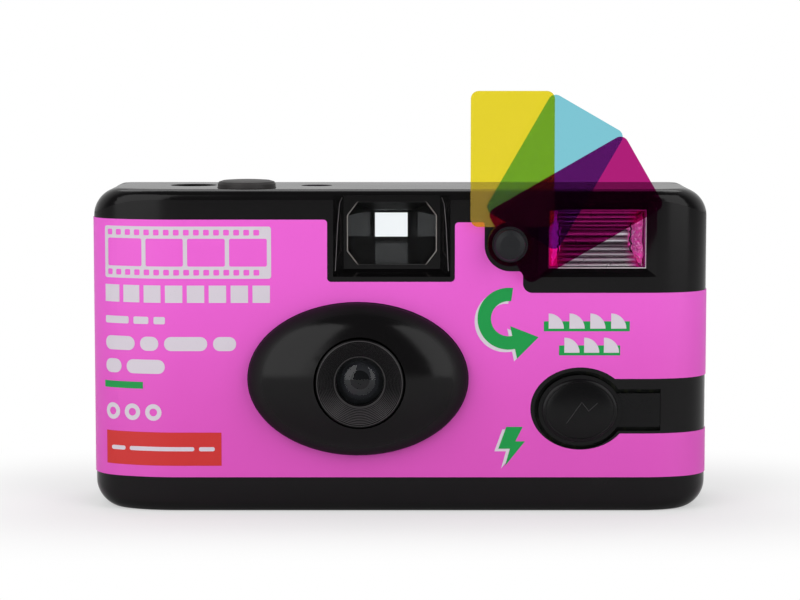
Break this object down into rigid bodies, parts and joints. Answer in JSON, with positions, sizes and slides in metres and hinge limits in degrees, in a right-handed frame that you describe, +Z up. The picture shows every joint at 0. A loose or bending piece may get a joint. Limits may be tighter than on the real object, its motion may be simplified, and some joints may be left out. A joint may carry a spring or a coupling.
{
  "type": "reloadable film camera",
  "caption": "Compact reloadable 35 mm film camera with built-in flash, swing-out colour filters for it, a hinged film door, a thumbwheel advance and a leaf shutter.",
  "frame": {"origin": "on the base, midway along it and midway between the front and back faces", "axes": "+X to the right seen from the front, -Y towards the front, +Z up"},
  "size_m": [0.1196, 0.0382, 0.0802],
  "materials": {
    "casing_black": "moulded black plastic with a soft shine",
    "frame_black": "moulded black plastic, matt",
    "label_pink": "printed adhesive label, satin",
    "label_rear": "printed adhesive label, satin",
    "dial_white": "moulded white plastic with plain numbers",
    "clear": "clear and polished",
    "steel": "plain sheet and wire",
    "reflector": "bright metallised",
    "board": "paper laminate circuit board",
    "sleeve": "shrink sleeve",
    "ferrite": "taped winding",
    "contact": "bright sheet",
    "lamp": "tinted and polished",
    "cell": "plain wrapped can",
    "cartridge_metal": "plain painted sheet",
    "film": "coated film",
    "yellow_tint": "tinted clear sheet",
    "cyan_tint": "tinted clear sheet",
    "magenta_tint": "tinted clear sheet"
  },
  "bodies": {
    "camera_body": {"front_cover": "casing_black", "rear_cover": "casing_black", "hinge_pin": "steel", "front_label": "label_pink", "main_frame": "frame_black", "lens_bezel": "frame_black", "taking_lens": "clear", "lens_spacer": "frame_black", "aperture_plate": "steel", "lens_mount": "frame_black", "blade_spring": "steel", "button_spring": "steel", "viewfinder_tunnel": "frame_black", "viewfinder_front_lens": "clear", "viewfinder_eyepiece": "clear", "flash_window": "clear", "flash_reflector": "reflector", "flash_tube": "clear", "flash_circuit_board": "board", "flash_capacitor": "sleeve", "flash_transformer": "ferrite", "flash_switch_contact": "contact", "ready_lamp": "lamp", "battery": "cell", "battery_contact_plus": "steel", "film_cartridge": "cartridge_metal", "film_strip": "film", "counter_window": "clear", "filter_pivot_knob": "frame_black", "housing_screws": "steel"},
    "release_button": {"shutter_button": "frame_black"},
    "release_lever_body": {"release_lever": "frame_black"},
    "shutter_blade_body": {"shutter_blade": "steel"},
    "charge_button": {"flash_button": "casing_black"},
    "yellow_leaf": {"filter_yellow": "yellow_tint"},
    "cyan_leaf": {"filter_cyan": "cyan_tint"},
    "magenta_leaf": {"filter_magenta": "magenta_tint"},
    "thumbwheel": {"film_advance_wheel": "frame_black", "cartridge_spool": "frame_black"},
    "sprocket": {"sprocket_shaft": "frame_black"},
    "supply": {"supply_spool": "frame_black", "film_roll": "film", "loading_key": "casing_black"},
    "counter": {"counter_dial": "dial_white"},
    "pawl": {"ratchet_pawl": "frame_black"},
    "door": {"film_door": "casing_black", "pressure_plate": "frame_black", "pressure_spring": "steel", "rear_label": "label_rear"},
    "latch": {"door_latch": "casing_black"},
    "battery_lid": {"battery_door": "casing_black", "battery_contact_spring": "steel"}
  },
  "joints": [
    {"name": "shutter_press", "type": "slide", "parent": "camera_body", "child": "release_button", "axis": [0, 0, -1], "range_m": [0, 0.0015], "stiffness_N_per_m": 1200, "springref_m": -0.0004, "deforming": ["button_spring"]},
    {"name": "lever_turn", "type": "hinge", "parent": "camera_body", "child": "release_lever_body", "pos_m": [-0.0208, -0.0119, 0.0459], "axis": [0, -1, 0], "range_deg": [0, 14]},
    {"name": "blade_swing", "type": "hinge", "parent": "camera_body", "child": "shutter_blade_body", "pos_m": [-0.0155, -0.01205, 0.033], "axis": [0, 1, 0], "range_deg": [0, 40.5]},
    {"name": "charge_press", "type": "hinge", "parent": "camera_body", "child": "charge_button", "pos_m": [0.0496, -0.0142, 0.0196], "axis": [0, 0, -1], "range_deg": [0, 2.4], "stiffness_Nm_per_rad": 1, "springref_deg": -0.57},
    {"name": "yellow_swing", "type": "hinge", "parent": "camera_body", "child": "yellow_leaf", "pos_m": [0.0207, 0, 0.0514], "axis": [0, 1, 0], "range_deg": [0, 90]},
    {"name": "cyan_swing", "type": "hinge", "parent": "camera_body", "child": "cyan_leaf", "pos_m": [0.0207, 0, 0.0514], "axis": [0, 1, 0], "range_deg": [-30, 60]},
    {"name": "magenta_swing", "type": "hinge", "parent": "camera_body", "child": "magenta_leaf", "pos_m": [0.0207, 0, 0.0514], "axis": [0, 1, 0], "range_deg": [-60, 30]},
    {"name": "advance_turn", "type": "hinge", "parent": "camera_body", "child": "thumbwheel", "pos_m": [-0.0402, 0.0016, 0.05], "axis": [0, 0, 1], "continuous": true},
    {"name": "sprocket_turn", "type": "hinge", "parent": "camera_body", "child": "sprocket", "pos_m": [-0.0193, 0.00595, 0.045], "axis": [0, 0, 1], "continuous": true},
    {"name": "supply_turn", "type": "hinge", "parent": "camera_body", "child": "supply", "pos_m": [0.0275, 0.0016, 0.02], "axis": [0, 0, 1], "continuous": true},
    {"name": "counter_turn", "type": "hinge", "parent": "camera_body", "child": "counter", "pos_m": [-0.0182, 0.0053, 0.057], "axis": [0, 0, 1], "continuous": true},
    {"name": "pawl_lift", "type": "hinge", "parent": "camera_body", "child": "pawl", "pos_m": [-0.0243, -0.0065, 0.053], "axis": [0, 0, -1], "range_deg": [0, 6], "stiffness_Nm_per_rad": 0.02, "springref_deg": -5.73},
    {"name": "door_swing", "type": "hinge", "parent": "camera_body", "child": "door", "pos_m": [-0.0582, 0.009, 0.025], "axis": [0, 0, 1], "range_deg": [0, 105]},
    {"name": "latch_slide", "type": "slide", "parent": "camera_body", "child": "latch", "axis": [0, 0, 1], "range_m": [0, 0.0025]},
    {"name": "battery_door_swing", "type": "hinge", "parent": "camera_body", "child": "battery_lid", "pos_m": [0.04135, 0.001, 0], "axis": [0, 1, 0], "range_deg": [0, 95]}
  ],
  "couplings": [
    {"joint": "lever_turn", "follows": "shutter_press", "rad_per_m": 161.73},
    {"joint": "blade_swing", "follows": "shutter_press", "rad_per_m": 465.42},
    {"joint": "sprocket_turn", "follows": "advance_turn", "ratio": 1.16},
    {"joint": "supply_turn", "follows": "advance_turn", "ratio": 0.73},
    {"joint": "counter_turn", "follows": "advance_turn", "ratio": -0.02974}
  ]
}
